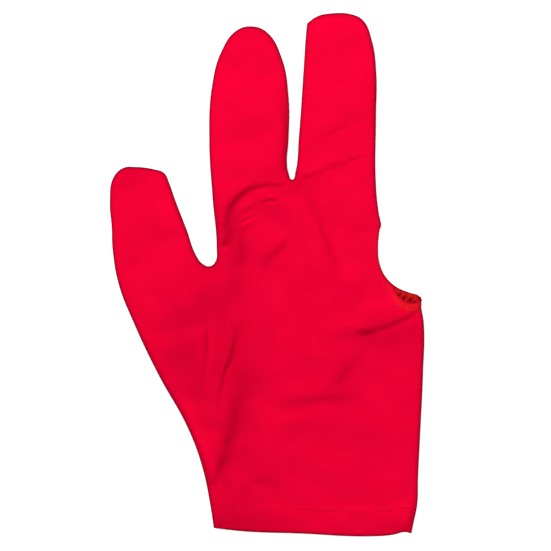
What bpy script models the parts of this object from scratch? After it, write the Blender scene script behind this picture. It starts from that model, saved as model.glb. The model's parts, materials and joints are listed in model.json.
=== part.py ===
"""Three-finger billiard glove lying flat, palm side up: sewn stretch fabric, split at its fold lines."""

import math

import bmesh
import bpy
from mathutils import Vector
from mathutils.geometry import interpolate_bezier, intersect_line_line_2d

MM = 0.001

# ---- driving dimensions, in millimetres ----
THICKNESS = 7.0          # the flat, empty glove
FABRIC = 0.6             # one layer of stretch fabric
EDGE_ROLL = 3.5          # radius of the rolled edge along a seam
SEAM_RADIUS = 0.5        # overlock seam cord
SEAM_INSET = 0.55        # seam centre line inside the outline
SEAM_CLEAR = 0.75        # panel edge above and below the seam's mid plane
THREAD_RADIUS = 0.26     # loose threads: opening edge and hem
FOLD_GAP = 0.3           # between two segments at a fold line
OVERRUN = 4.2            # a panel is drawn this far past an open edge, then trimmed to it
RAMP = 8.0               # length over which the two layers part at the end of the opening
HEM_DEPTH = 11.3         # hem stitch line above the wrist edge
LAYER_GAP = 0.1          # between a panel and its own turned-in hem
MID = THICKNESS / 2

# ---- outline: (x, y), smooth through every point; a third entry marks a sharp corner ----
OUTLINE = {
    "thumb_side": [
        (-22.3, -106.6, 1), (-23.6, -98.0), (-27.0, -81.5), (-33.0, -65.0), (-46.0, -41.3), (-56.0, -20.2),
        (-62.2, -4.4), (-64.8, 10.0), (-65.25, 20.0), (-66.0, 31.0),
    ],
    "thumb_tip": [(-64.4, 41.0), (-60.0, 45.0), (-56.0, 45.3), (-47.0, 44.2), (-43.2, 42.8)],
    "thumb_inner": [(-40.9, 38.2), (-38.7, 32.0), (-33.7, 19.0), (-29.3, 7.4)],
    "web": [(-26.5, 4.2), (-23.9, 3.5), (-21.6, 5.4)],
    "index_outer": [(-21.1, 11.0), (-22.8, 32.0), (-24.2, 56.0), (-23.0, 79.5)],
    "index_tip": [(-18.9, 94.2), (-12.6, 102.7), (-6.3, 104.4), (0.0, 102.0), (6.2, 91.5)],
    "index_inner": [(9.2, 75.0), (9.2, 56.5), (8.55, 47.0), (9.2, 42.7)],
    "crotch": [(10.75, 39.9), (12.0, 43.0)],
    "middle_inner": [(13.5, 58.0), (15.4, 85.0), (16.6, 102.5)],
    "middle_tip": [
        (16.95, 105.6, 1), (21.0, 108.5), (26.5, 109.8), (36.6, 109.2), (40.7, 106.8), (44.2, 98.6),
    ],
    "middle_outer": [(46.1, 85.0), (46.0, 66.0), (45.95, 38.0), (47.2, 25.5)],
    "opening": [
        (47.95, 21.7), (47.3, 17.4), (46.85, 11.0), (47.5, 4.6), (50.0, -0.9), (54.7, -5.3), (60.0, -7.6),
        (64.3, -9.2),
    ],
    "little_side": [
        (65.1, -11.2), (65.0, -13.6), (66.1, -20.5), (65.8, -41.0), (64.6, -66.6), (63.7, -85.0),
        (63.3, -97.0), (62.0, -103.5),
    ],
    "mouth": [
        (60.9, -108.9, 1), (58.2, -108.2), (53.0, -109.35), (42.0, -110.0), (14.0, -108.8), (-8.0, -108.0),
    ],
}
OPEN_EDGES = ("opening", "mouth")
STEPS = 2                # straight pieces between two outline points

# ---- fold lines: both ends lie outside the fabric, and the moving segment is on the left of the line ----
FOLDS = {
    "wrist": ((75.0, -72.0), (-40.0, -69.6)),
    "thumb_root": ((-40.9, -57.5), (-22.9, 4.6)),
    "thumb_knuckle": ((-68.1, 5.0), (-28.6, 14.0)),
    "thumb_joint": ((-69.3, 21.4), (-34.1, 28.8)),
    "index_root": ((-30.0, 41.2), (10.65, 41.8)),
    "index_middle": ((-30.0, 64.3), (11.7, 64.5)),
    "index_end": ((-30.0, 84.5), (11.7, 84.5)),
    "middle_root": ((10.65, 41.8), (52.0, 44.6)),
    "middle_middle": ((11.7, 66.9), (52.0, 69.5)),
    "middle_end": ((11.7, 89.2), (52.0, 91.0)),
}

# ---- segments: the fold nearest the hand, the fold farther out, and corners that close the area ----
SEGMENTS = {
    "thumb_base": ("thumb_root", "thumb_knuckle", [(-80.0, -57.0)]),
    "thumb_mid": ("thumb_knuckle", "thumb_joint", []),
    "thumb_tip": ("thumb_joint", None, [(-34.0, 60.0), (-75.0, 60.0)]),
    "index_base": ("index_root", "index_middle", []),
    "index_mid": ("index_middle", "index_end", []),
    "index_tip": ("index_end", None, [(11.7, 120.0), (-30.0, 120.0)]),
    "middle_base": ("middle_root", "middle_middle", []),
    "middle_mid": ("middle_middle", "middle_end", []),
    "middle_tip": ("middle_end", None, [(52.0, 120.0), (11.7, 120.0)]),
}
# Each segment's seam pieces: name ending, and a point near the piece wanted.
SEAMS = {
    "cuff": [("thumb_side", (-27, -85)), ("little_side", (63.5, -90))],
    "hand": [
        ("thumb_side", (-36, -62)), ("web", (-21, 20)), ("crotch", (10.7, 40)), ("outer", (46, 34)),
        ("little_side", (66, -40)),
    ],
    "thumb_base": [("outer", (-55, -22)), ("inner", (-28, 7))],
    "thumb_mid": [("outer", (-65, 14)), ("inner", (-35, 22))],
    "thumb_tip": [("round", (-55, 45))],
    "index_base": [("outer", (-24, 53)), ("inner", (9, 53))],
    "index_mid": [("outer", (-23, 75)), ("inner", (9, 75))],
    "index_tip": [("round", (-6, 104))],
    "middle_base": [("inner", (13, 55)), ("outer", (46, 55))],
    "middle_mid": [("inner", (15, 80)), ("outer", (46, 80))],
    "middle_tip": [("round", (30, 110))],
}

COLOURS = {
    "palm_fabric": (0.80, 0.006, 0.040, 1.0),
    "back_fabric": (0.72, 0.006, 0.036, 1.0),
    "seam_thread": (0.62, 0.005, 0.030, 1.0),
    "edge_thread": (0.85, 0.035, 0.020, 1.0),
}


def clear_scene():
    for obj in list(bpy.data.objects):
        bpy.data.objects.remove(obj, do_unlink=True)


def new_collection(name):
    collection = bpy.data.collections.new(name)
    bpy.context.scene.collection.children.link(collection)
    return collection


def fabric_material(name):
    material = bpy.data.materials.new(name)
    material.use_nodes = True
    shader = material.node_tree.nodes["Principled BSDF"]
    shader.inputs["Base Color"].default_value = COLOURS[name.split("-")[0]]
    shader.inputs["Roughness"].default_value = 0.7
    return material


def smooth(t):
    t = min(1.0, max(0.0, t))
    return t * t * (3 - 2 * t)


def outline_samples():
    """The whole outline as (point, section name), clockwise from the wrist, thumb side."""
    curve = bpy.data.curves.new("outline_guide", "CURVE")
    spline = curve.splines.new("BEZIER")
    spline.use_cyclic_u = True
    marked = [(section, p) for section, points in OUTLINE.items() for p in points]
    spline.bezier_points.add(len(marked) - 1)
    for knot, (_, p) in zip(spline.bezier_points, marked):
        knot.co = (p[0], p[1], 0)
        kind = "VECTOR" if len(p) > 2 else "AUTO"
        knot.handle_left_type = kind
        knot.handle_right_type = kind
    guide = bpy.data.objects.new("outline_guide", curve)
    CUTTERS.objects.link(guide)
    guide.hide_render = True
    bpy.context.view_layer.update()
    knots = list(spline.bezier_points)
    found = []
    for i, knot in enumerate(knots):
        after = knots[(i + 1) % len(knots)]
        points = interpolate_bezier(knot.co, knot.handle_right, after.handle_left, after.co, STEPS + 1)
        found += [(p.to_2d(), marked[i][0]) for p in points[:-1]]
    bpy.data.objects.remove(guide, do_unlink=True)
    return found


def inward(points, i):
    """Unit vector into the glove at point i of the clockwise outline."""
    before = (points[i] - points[i - 1]).normalized()
    after = (points[(i + 1) % len(points)] - points[i]).normalized()
    tangent = (before + after).normalized()
    return Vector((tangent.y, -tangent.x))


def shifted(points, distances):
    return [p + inward(points, i) * distances[i] for i, p in enumerate(points)]


def first_of(section):
    return next(i for i, (_, name) in enumerate(SAMPLES) if name == section)


def section_points(section):
    """The samples of a section, up to and including the start of the next."""
    start = first_of(section)
    count = sum(1 for _, name in SAMPLES if name == section)
    return [POINTS[(start + k) % len(POINTS)] for k in range(count + 1)]


def panel_outline():
    """The outline, run past the two open edges so that they can be trimmed open."""
    distances = [0.0] * len(SAMPLES)
    upper, lower = section_points("opening")[0], section_points("opening")[-1]
    for i, (p, section) in enumerate(SAMPLES):
        if section == "opening":
            away = min((p - upper).length, (p - lower).length)
            distances[i] = -OVERRUN * smooth(away / RAMP)
        elif section == "mouth":
            distances[i] = -OVERRUN
    points = shifted(POINTS, distances)
    for corner in (0, first_of("mouth")):
        lean = 0.35 if POINTS[corner].x < 0 else -0.35
        points[corner] = POINTS[corner] + Vector((lean, -OVERRUN))
    return points


def mesh_of_curve(curve, name):
    """The curve's evaluated mesh, welded, with the curve removed."""
    obj = bpy.data.objects.new(name + "_curve", curve)
    CUTTERS.objects.link(obj)
    bpy.context.view_layer.update()
    graph = bpy.context.evaluated_depsgraph_get()
    mesh = bpy.data.meshes.new_from_object(obj.evaluated_get(graph))
    mesh.name = name
    mesh.transform(obj.matrix_world)
    bpy.data.objects.remove(obj, do_unlink=True)
    shape = bmesh.new()
    shape.from_mesh(mesh)
    bmesh.ops.remove_doubles(shape, verts=shape.verts, dist=1e-6)
    shape.to_mesh(mesh)
    shape.free()
    return mesh


def add_poly(curve, points, cyclic):
    spline = curve.splines.new("POLY")
    spline.points.add(len(points) - 1)
    for knot, p in zip(spline.points, points):
        knot.co = (p[0] * MM, p[1] * MM, (p[2] if len(p) > 2 else 0) * MM, 1)
    spline.use_cyclic_u = cyclic


def panel_surface(name, upper):
    """Outer surface of one panel: flat, rolled down to its seam all round."""
    curve = bpy.data.curves.new(name, "CURVE")
    curve.dimensions = "2D"
    curve.fill_mode = "BOTH"
    curve.bevel_depth = EDGE_ROLL * MM
    curve.bevel_resolution = 1
    curve.offset = -EDGE_ROLL * MM
    add_poly(curve, panel_outline(), True)
    mesh = mesh_of_curve(curve, name)
    shape = bmesh.new()
    shape.from_mesh(mesh)
    side = 1 if upper else -1
    bmesh.ops.bisect_plane(
        shape,
        geom=shape.verts[:] + shape.edges[:] + shape.faces[:],
        plane_co=(0, 0, side * SEAM_CLEAR * MM),
        plane_no=(0, 0, side),
        clear_inner=True,
    )
    bmesh.ops.translate(shape, verts=shape.verts, vec=(0, 0, MID * MM))
    shape.to_mesh(mesh)
    shape.free()
    return mesh


def prism(name, corners):
    """A hidden cutter that stands right through the glove."""
    shape = bmesh.new()
    low = [shape.verts.new((x * MM, y * MM, -10 * MM)) for x, y in corners]
    face = shape.faces.new(low)
    raised = bmesh.ops.extrude_face_region(shape, geom=[face])["geom"]
    top = [item for item in raised if isinstance(item, bmesh.types.BMVert)]
    bmesh.ops.translate(shape, verts=top, vec=(0, 0, 25 * MM))
    bmesh.ops.recalc_face_normals(shape, faces=shape.faces)
    mesh = bpy.data.meshes.new(name)
    shape.to_mesh(mesh)
    shape.free()
    obj = bpy.data.objects.new(name, mesh)
    CUTTERS.objects.link(obj)
    obj.hide_render = True
    obj.display_type = "WIRE"
    return obj


def fold_edge(name, child_side):
    """The fold line moved half a gap toward the segment it is to bound."""
    a, b = (Vector(p) for p in FOLDS[name])
    along = (b - a).normalized()
    step = Vector((-along.y, along.x)) * FOLD_GAP / 2 * (1 if child_side else -1)
    return [a + step, b + step]


def regions():
    """The area of each body in plan, as rings of points."""
    found = {}
    for body, (near, far, corners) in SEGMENTS.items():
        beyond = fold_edge(far, False)[::-1] if far else []
        found[body] = fold_edge(near, True) + beyond + [Vector(c) for c in corners]
    mouth = section_points("mouth")
    found["cuff"] = fold_edge("wrist", True) + [Vector((-40, mouth[-1].y))] + mouth[::-1]
    found["cuff"].append(Vector((75, mouth[0].y)))
    opening = section_points("opening")
    found["hand"] = (
        fold_edge("wrist", False)
        + fold_edge("thumb_root", False)
        + fold_edge("index_root", False)
        + fold_edge("middle_root", False)
        + [Vector((52, opening[0].y))]
        + opening
        + [Vector((75, opening[-1].y))]
    )
    return found


def inside(point, ring):
    hit = False
    for i, a in enumerate(ring):
        b = ring[i - 1]
        if (a.y > point.y) != (b.y > point.y):
            if point.x < (b.x - a.x) * (point.y - a.y) / (b.y - a.y) + a.x:
                hit = not hit
    return hit


def crossing(a, b, ring):
    for i, p in enumerate(ring):
        met = intersect_line_line_2d(a, b, ring[i - 1], p)
        if met:
            return met
    return None


def runs_inside(line, ring):
    """The stretches of a polyline inside a ring, cut exactly at its edge."""
    found = []
    current = [line[0]] if inside(line[0], ring) else []
    for a, b in zip(line, line[1:]):
        was, now = inside(a, ring), inside(b, ring)
        if was != now:
            met = crossing(a, b, ring)
            if met is not None:
                current.append(Vector(met))
            if was:
                found.append(current)
                current = []
        if now:
            current.append(b)
    if current:
        found.append(current)
    return [tidy(run) for run in found if len(run) > 1]


def tidy(run):
    """Drops points closer than a third of a millimetre, keeping both ends."""
    kept = [run[0]]
    for p in run[1:-1]:
        if (p - kept[-1]).length > 0.33 and (p - run[-1]).length > 0.33:
            kept.append(p)
    return kept + [run[-1]]


def cord(name, points, radius, cyclic, material):
    curve = bpy.data.curves.new(name, "CURVE")
    curve.dimensions = "3D"
    curve.bevel_depth = radius * MM
    curve.bevel_resolution = 1
    curve.use_fill_caps = not cyclic
    add_poly(curve, points, cyclic)
    mesh = mesh_of_curve(curve, name)
    mesh.materials.clear()
    mesh.materials.append(material)
    obj = bpy.data.objects.new(name, mesh)
    PARTS.objects.link(obj)
    return obj


def panel_piece(name, surface, cutter, material):
    mesh = surface.copy()
    mesh.materials.clear()
    mesh.materials.append(material)
    obj = bpy.data.objects.new(name, mesh)
    PARTS.objects.link(obj)
    shell = obj.modifiers.new("fabric", "SOLIDIFY")
    shell.thickness = FABRIC * MM
    shell.offset = -1
    shell.use_even_offset = True
    cut = obj.modifiers.new("segment", "BOOLEAN")
    cut.operation = "INTERSECT"
    cut.solver = "EXACT"
    cut.object = cutter
    return obj


def build_panels(areas):
    palm = panel_surface("palm_surface", True)
    back = panel_surface("back_surface", False)
    for body, ring in areas.items():
        cutter = prism("cut_" + body, ring)
        panel_piece("palm_" + body, palm, cutter, fabric_material("palm_fabric-" + body))
        panel_piece("back_" + body, back, cutter, fabric_material("back_fabric-" + body))


def build_seams(areas):
    centre = shifted(POINTS, [SEAM_INSET] * len(POINTS))
    main = centre[:first_of("opening")]
    main[0] = main[0] + Vector((0.3, 0.9))
    side = centre[first_of("little_side") + 1:first_of("mouth")]
    for body, wanted in SEAMS.items():
        runs = runs_inside(main, areas[body]) + runs_inside(side, areas[body])
        for ending, near in wanted:
            seed = Vector(near)
            best = min(runs, key=lambda run: min((p - seed).length for p in run))
            name = "seam_" + body + "_" + ending
            path = [(p.x, p.y, MID) for p in best]
            cord(name, path, SEAM_RADIUS, False, fabric_material("seam_thread-" + name))


def build_opening_thread():
    """One overlock thread: down the palm layer's edge and back up the back layer's edge."""
    line = shifted(POINTS, [-0.55] * len(POINTS))
    start = first_of("opening")
    path = [line[start + k] for k in range(1, len(section_points("opening")) - 1)]
    top = [(p.x, p.y, THICKNESS - FABRIC / 2) for p in path]
    low = [(p.x, p.y, FABRIC / 2) for p in reversed(path)]
    ring = top + [(path[-1].x, path[-1].y, MID)] + low + [(path[0].x, path[0].y, MID)]
    cord("opening_overlock", ring, THREAD_RADIUS, True, fabric_material("edge_thread-ring"))


def hem_ends(inset, above):
    """The two ends of a line across the cuff, this far in from the sides and above the wrist edge."""
    left, right = POINTS[0], POINTS[first_of("mouth")]
    return [left + Vector((inset, above)), right + Vector((-inset, above))]


def build_hem_strips():
    """The turned-in part of each panel, lying against its inner face."""
    edge = [p + Vector((0, 0.5)) for p in section_points("mouth")[1:-1]][::-1]
    left, right = hem_ends(EDGE_ROLL + 1.0, HEM_DEPTH + 0.5)
    ring = [left, Vector((left.x, edge[0].y))] + edge + [Vector((right.x, edge[-1].y)), right]
    ring = [p for p in ring if left.x <= p.x <= right.x]
    sunk = FABRIC * 1.5 + LAYER_GAP
    for side, level in (("palm", THICKNESS - sunk), ("back", sunk)):
        curve = bpy.data.curves.new(side + "_hem", "CURVE")
        curve.dimensions = "2D"
        curve.fill_mode = "BOTH"
        curve.extrude = FABRIC / 2 * MM
        add_poly(curve, ring, True)
        mesh = mesh_of_curve(curve, side + "_hem")
        mesh.materials.clear()
        mesh.materials.append(fabric_material(side + "_fabric-hem"))
        obj = bpy.data.objects.new(side + "_hem_turn_in", mesh)
        obj.location.z = level * MM
        PARTS.objects.link(obj)


def build_hem_thread():
    """The hem's stitch line, a ring along the raw edges of both turned-in layers of the cuff."""
    sunk = FABRIC * 1.5 + LAYER_GAP
    left, right = hem_ends(EDGE_ROLL + 1.1, HEM_DEPTH + 0.5 + THREAD_RADIUS + LAYER_GAP)
    steps = [left.lerp(right, k / 8) for k in range(9)]
    top = [(p.x, p.y, THICKNESS - sunk) for p in steps]
    low = [(p.x, p.y, sunk) for p in reversed(steps)]
    cord("hem_stitch", top + low, THREAD_RADIUS, True, fabric_material("seam_thread-hem"))


def build_tacks():
    """Bunched thread where the seam stops at each end of the opening."""
    for name, at, turn in (("tack_upper", (48.35, 23.6), -8.0), ("tack_lower", (65.85, -12.4), -2.0)):
        bpy.ops.mesh.primitive_cube_add(size=1, location=(at[0] * MM, at[1] * MM, MID * MM))
        obj = bpy.context.object
        obj.name = name
        obj.scale = (1.0 * MM, 3.4 * MM, 4.4 * MM)
        obj.rotation_euler = (0, 0, math.radians(turn))
        bpy.ops.object.transform_apply(location=False, rotation=False, scale=True)
        soft = obj.modifiers.new("soft", "BEVEL")
        soft.width = 0.25 * MM
        soft.segments = 2
        obj.data.materials.append(fabric_material("edge_thread-" + name))
        for owner in list(obj.users_collection):
            owner.objects.unlink(obj)
        PARTS.objects.link(obj)


clear_scene()
PARTS = new_collection("billiard_glove")
CUTTERS = new_collection("cutters")
SAMPLES = outline_samples()
POINTS = [p for p, _ in SAMPLES]
AREAS = regions()
build_panels(AREAS)
build_seams(AREAS)
build_opening_thread()
build_hem_strips()
build_hem_thread()
build_tacks()
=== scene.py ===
"""Looks of the three-finger billiard glove: sewn stretch knit, lying flat with the palm up."""

import json
import math

import bpy
import numpy as np
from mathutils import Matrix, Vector, noise
from mathutils.bvhtree import BVHTree
from mathutils.geometry import delaunay_2d_cdt, interpolate_bezier
from mathutils.kdtree import KDTree

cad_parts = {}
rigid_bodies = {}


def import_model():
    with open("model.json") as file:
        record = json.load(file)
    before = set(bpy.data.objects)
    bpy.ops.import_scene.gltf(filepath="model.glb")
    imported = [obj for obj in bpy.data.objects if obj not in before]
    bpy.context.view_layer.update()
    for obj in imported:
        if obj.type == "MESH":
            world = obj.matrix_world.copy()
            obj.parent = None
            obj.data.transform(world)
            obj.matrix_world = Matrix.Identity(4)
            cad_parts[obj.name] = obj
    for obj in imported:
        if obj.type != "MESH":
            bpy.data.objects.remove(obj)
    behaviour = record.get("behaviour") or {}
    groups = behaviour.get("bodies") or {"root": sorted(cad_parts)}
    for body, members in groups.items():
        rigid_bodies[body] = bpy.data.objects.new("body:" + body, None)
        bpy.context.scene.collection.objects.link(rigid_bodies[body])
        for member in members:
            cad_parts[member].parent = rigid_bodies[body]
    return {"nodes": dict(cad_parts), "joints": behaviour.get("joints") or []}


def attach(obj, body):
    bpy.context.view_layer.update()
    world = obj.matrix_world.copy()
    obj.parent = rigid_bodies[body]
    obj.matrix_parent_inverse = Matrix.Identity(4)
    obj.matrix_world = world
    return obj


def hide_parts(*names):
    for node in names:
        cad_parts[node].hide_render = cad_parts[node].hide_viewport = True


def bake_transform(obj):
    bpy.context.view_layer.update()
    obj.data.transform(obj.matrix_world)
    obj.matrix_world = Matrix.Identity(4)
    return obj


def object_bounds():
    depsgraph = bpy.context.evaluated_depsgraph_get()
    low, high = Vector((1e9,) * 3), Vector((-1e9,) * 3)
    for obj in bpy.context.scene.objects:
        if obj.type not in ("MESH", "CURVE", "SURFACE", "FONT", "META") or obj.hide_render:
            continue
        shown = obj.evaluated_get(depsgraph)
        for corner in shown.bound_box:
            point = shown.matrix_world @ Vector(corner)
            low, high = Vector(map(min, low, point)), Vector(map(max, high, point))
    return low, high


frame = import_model()
CAD_LOW, CAD_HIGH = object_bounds()

# ---- driving dimensions, in millimetres; the drawing is 220 long and is scaled to the frame ----
MM = 0.001
DRAWN_LENGTH = 220.0
SCALE = (CAD_HIGH.y - CAD_LOW.y) / (DRAWN_LENGTH * MM)
SEAM_Z = 2.5             # height of the seam between palm and back
LIP = 0.5                # each layer's edge stands this far from the seam's height
PALM_TOP = 4.7           # palm height just inside a seam
PALM_CROWN = 0.8         # extra height in the middle of the palm
CROWN_RUN = 9.0          # how far from a seam that extra height is mostly reached
CALM, CALM_RUN = 0.4, 2.2     # relief starts this far from a seam, and is full this much farther in
ROLL = 2.3               # width of the rolled edge
PUCKER_PITCH = 2.9       # gathers along a seam
PUCKER_INSET = 1.7       # where they are deepest, from the seam
KNIT = 0.62              # one layer of fabric
HEM = 11.3               # depth of the wrist hem
HEM_ROW = 10.3           # its row of stitches, from the mouth
HEM_STEP, HEM_GROOVE = 0.08, 0.04    # the doubled fabric stands out, and the stitches pull it in
BACK_GROOVE = 0.22       # the back is pulled in more there, so that its stitches clear the ground
OPENING_SAG = 1.1        # the palm's edge droops at the opening
OPENING_LIFT = 0.8       # the back's edge curls up there
SAG_RUN = 4.0
SPACING = 0.9            # outline samples; half of it along the opening
GRID = 1.3               # surface points away from creases; half of it near them
FOLD_START, FOLD_END = -2.0, 12.0    # the bend of the fabric, measured from a fold line
THUMB_START = 0.0        # where the bend starts at the thumb's root, which lies in the palm
THUMB_FROM, FINGERS_FROM = -70, 20   # heights on the drawing below which nothing is a thumb's or a finger's
CLOTH_SHRINK = -0.002    # below zero, the cloth wants to be larger than its outline by this share
CLOTH_STRETCHING = 12.0
CLOTH_SHEAR = 4.0
CLOTH_BENDING = 5.0
CLOTH_MASS = 0.3
CLOTH_FRAMES = 16
CLOTH_DIVISOR = 10       # the drawing is this much smaller in the simulation
CLOTH_HELD = (1.0, 3.0)  # points up to the first distance from an edge are held, then less over the second
CLOTH_REACH = 0.45       # farthest that a point may move, in millimetres

OUTLINE = {
    "thumb_side": [
        (-22.3, -106.6, 1), (-23.6, -98.0), (-27.0, -81.5), (-33.0, -65.0), (-46.0, -41.3), (-56.0, -20.2),
        (-62.2, -4.4), (-64.8, 10.0), (-65.25, 20.0), (-66.0, 31.0),
    ],
    "thumb_tip": [(-64.4, 41.0), (-60.0, 45.0), (-56.0, 45.3), (-47.0, 44.2), (-43.2, 42.8)],
    "thumb_inner": [(-40.9, 38.2), (-38.7, 32.0), (-33.7, 19.0), (-29.3, 7.4)],
    "web": [(-26.5, 4.2), (-23.9, 3.5), (-21.6, 5.4)],
    "index_outer": [(-21.1, 11.0), (-22.8, 32.0), (-24.2, 56.0), (-23.0, 79.5)],
    "index_tip": [(-18.9, 94.2), (-12.6, 102.7), (-6.3, 104.4), (0.0, 102.0), (6.2, 91.5)],
    "index_inner": [(9.2, 75.0), (9.2, 56.5), (8.55, 47.0), (9.2, 42.7)],
    "crotch": [(10.75, 39.9), (12.0, 43.0)],
    "middle_inner": [(13.5, 58.0), (15.4, 85.0), (16.6, 102.5)],
    "middle_tip": [
        (16.95, 105.6, 1), (21.0, 108.5), (26.5, 109.8), (36.6, 109.2), (40.7, 106.8), (44.2, 98.6),
    ],
    "middle_outer": [(46.1, 85.0), (46.0, 66.0), (45.95, 38.0), (47.2, 25.5)],
    "opening": [
        (47.95, 21.7), (47.3, 17.4), (46.85, 11.0), (47.5, 4.6), (50.0, -0.9), (54.7, -5.3), (60.0, -7.6),
        (64.3, -9.2),
    ],
    "little_side": [
        (65.1, -11.2), (65.0, -13.6), (66.1, -20.5), (65.8, -41.0), (64.6, -66.6), (63.7, -85.0),
        (63.3, -97.0), (62.0, -103.5),
    ],
    "mouth": [
        (60.9, -108.9, 1), (58.2, -108.2), (53.0, -109.35), (42.0, -110.0), (14.0, -108.8), (-8.0, -108.0),
    ],
}
OPEN_EDGES = ("opening", "mouth")
# The palm layer sags at the low end of the opening, and shows the inside of the back layer.
PALM_CHANGES = {
    "opening": [
        (47.95, 21.7), (47.2, 17.4), (46.75, 11.0), (47.35, 4.6), (49.75, -1.1), (53.1, -4.9), (55.3, -9.0),
        (58.0, -11.3), (61.0, -12.1), (63.2, -11.6), (64.8, -11.9),
    ],
    "little_side": OUTLINE["little_side"][1:],
}

# ---- creases: height of the step (high on the left of the path), width, reach, overhang, and the path's
# points, each with its share of the height and of the width ----
CREASES = [
    # the index finger's root stands over the palm in an arch
    (1.25, 1.0, 9.0, 0.3, [
        (-19.4, 9.6, 0.8, 1.1), (-17.6, 12.6, 1.1, 1.5), (-17.6, 19.0, 1.0, 1.8), (-17.0, 25.0, 1.1, 1.7),
        (-14.8, 30.3, 1.2, 1.4), (-10.9, 34.4, 1.1, 1.1), (-5.1, 37.1, 0.7, 0.9), (2.0, 37.8, 0.45, 0.8),
        (7.0, 38.0, 0.55, 0.6), (10.6, 39.6, 0.7, 0.5),
    ]),
    # right edge of the index sleeve
    (0.9, 1.5, 12.0, 0.0, [(7.4, 38.5, 0.9, 1), (6.9, 52.0, 1, 1), (7.0, 66.0, 1, 1), (5.2, 86.0, 0, 1)]),
    # root and first joint of the middle finger
    (0.36, 0.6, 4.0, 0.1, [
        (12.2, 40.0, 1, 0.8), (15.0, 40.6, 1.3, 1), (19.7, 42.2, 0.45, 1), (25.0, 45.2, 0.08, 1.4),
        (31.2, 46.7, 0.25, 1.2), (35.7, 48.4, 0.6, 1), (43.0, 53.2, 0.25, 1.3),
    ]),
    (0.12, 0.6, 4.0, 0.0, [(22.0, 57.6, 0.4, 1), (29.5, 60.6, 1, 1), (37.4, 64.8, 0.4, 1)]),
    # small wrinkles under the arch
    (0.6, 0.5, 2.5, 0.0, [(-4.4, 29.4, 0.5, 1), (0.0, 31.2, 1, 1), (5.6, 31.4, 0.6, 1)]),
    (0.6, 0.45, 2.5, 0.0, [(-12.2, 21.6, 0.5, 1), (-8.7, 23.2, 1, 1), (-4.0, 26.4, 0.5, 1)]),
    (0.7, 1.0, 3.5, 0.0, [(-10.2, 2.0, 0.4, 1), (-10.9, 9.0, 1, 1), (-12.3, 18.0, 0.6, 1)]),
    (0.5, 1.9, 6.0, 0.0, [(-4.6, 1.4, 0.4, 1), (1.0, 7.8, 1, 1), (7.1, 13.6, 1, 0.8), (9.0, 20.0, 0.4, 1)]),
    # palm
    (0.95, 1.7, 6.0, 0.0, [
        (33.6, -4.0, 0.3, 1), (27.6, 5.0, 1, 1), (23.8, 16.0, 1, 0.8), (19.6, 27.0, 0.8, 1),
        (14.5, 36.0, 0.9, 1),
    ]),
    (0.55, 1.4, 5.0, 0.0, [(21.0, -8.0, 0.3, 1), (16.6, 1.0, 1, 1), (13.6, 11.0, 0.3, 1)]),
    (0.42, 1.9, 5.0, 0.0, [(25.6, -48.2, 0.5, 1), (31.0, -42.8, 1, 1), (36.4, -33.4, 0.6, 1)]),
    (0.52, 2.3, 6.0, 0.0, [
        (4.0, -56.4, 0.3, 1), (10.0, -53.6, 0.9, 1), (19.3, -51.6, 1, 0.8), (27.0, -51.2, 1, 0.8),
        (37.6, -52.6, 0.2, 1),
    ]),
    # low corner of the opening
    (0.86, 1.3, 7.0, 0.2, [
        (33.8, -20.6, 0.2, 1), (38.4, -21.8, 0.5, 0.8), (43.6, -22.8, 0.8, 1.2), (49.1, -21.5, 0.75, 1.1),
        (54.1, -19.8, 0.8, 0.9), (59.2, -17.3, 0.8, 0.7), (65.2, -13.6, 0.5, 0.5),
    ]),
    # thumb side
    (1.3, 0.9, 3.0, 0.0, [
        (-27.8, -54.0, 0.2, 1.4), (-26.6, -38.3, 0.5, 1.2), (-25.6, -27.0, 1, 1), (-25.8, -19.0, 0.5, 0.8),
    ]),
    (0.95, 0.9, 6.0, 0.1, [
        (-20.4, -66.0, 0.25, 1), (-20.4, -52.0, 0.5, 1), (-19.2, -45.3, 0.8, 0.8), (-17.8, -40.5, 1.1, 0.7),
        (-15.5, -34.6, 1.0, 0.9), (-14.2, -29.0, 0.8, 1.2), (-14.4, -19.0, 0.3, 1.6),
    ]),
    (1.5, 2.5, 8.0, 0.0, [
        (-24.4, -91.5, 0.5, 0.5), (-22.0, -84.5, 0.7, 0.6), (-18.9, -77.5, 1, 0.8), (-16.9, -69.0, 0.9, 1),
        (-15.0, -60.5, 1, 1.1), (-13.6, -51.5, 0.7, 1.2), (-13.0, -41.5, 0.2, 1.4),
    ]),
    # little-finger corner of the cuff
    (0.9, 0.45, 5.0, 0.1, [
        (59.4, -110, 1, 1), (60.4, -104.0, 1, 1), (61.0, -97.0, 0.3, 1), (61.2, -90.0, 0, 1),
    ]),
    # a faint one above the cuff
    (0.22, 1.4, 6.0, 0.0, [(-9.0, -86.8, 0.4, 1), (-2.0, -86.0, 1, 1), (8.0, -86.8, 0.4, 1)]),
]
# ---- soft bumps and hollows: centre, height, length, width, turn in degrees ----
MOUNDS = [
    ((52.2, -14.4), 0.8, 9.0, 4.5, 15), ((41.6, -25.6), -0.9, 3.2, 1.4, 14),
    ((-17.9, 12.0), -1.0, 1.6, 1.3, 60), ((39.9, -22.6), 0.35, 2.2, 1.0, 10),
    ((-8.5, 28.4), 0.75, 3.2, 1.2, 35), ((-7.4, 21.4), 0.7, 3.0, 1.4, 35),
    ((-22.6, -35.0), 0.7, 14.0, 1.9, 84), ((8.6, -5.0), 0.35, 5.0, 1.6, 80),
    ((2.0, -71.0), 0.5, 14.0, 9.0, 80), ((-30.0, -74.0), 0.5, 12.0, 2.0, 108),
    ((30.0, 4.0), 0.4, 16.0, 9.0, 110), ((-55.0, 20.0), 0.3, 14.0, 8.0, 100),
    ((22.0, -60.0), 0.3, 12.0, 6.0, 0), ((60.6, -106.0), -0.9, 4.5, 1.2, 78),
    ((-20.5, -106.0), -0.7, 3.0, 1.6, 10),
]
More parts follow.
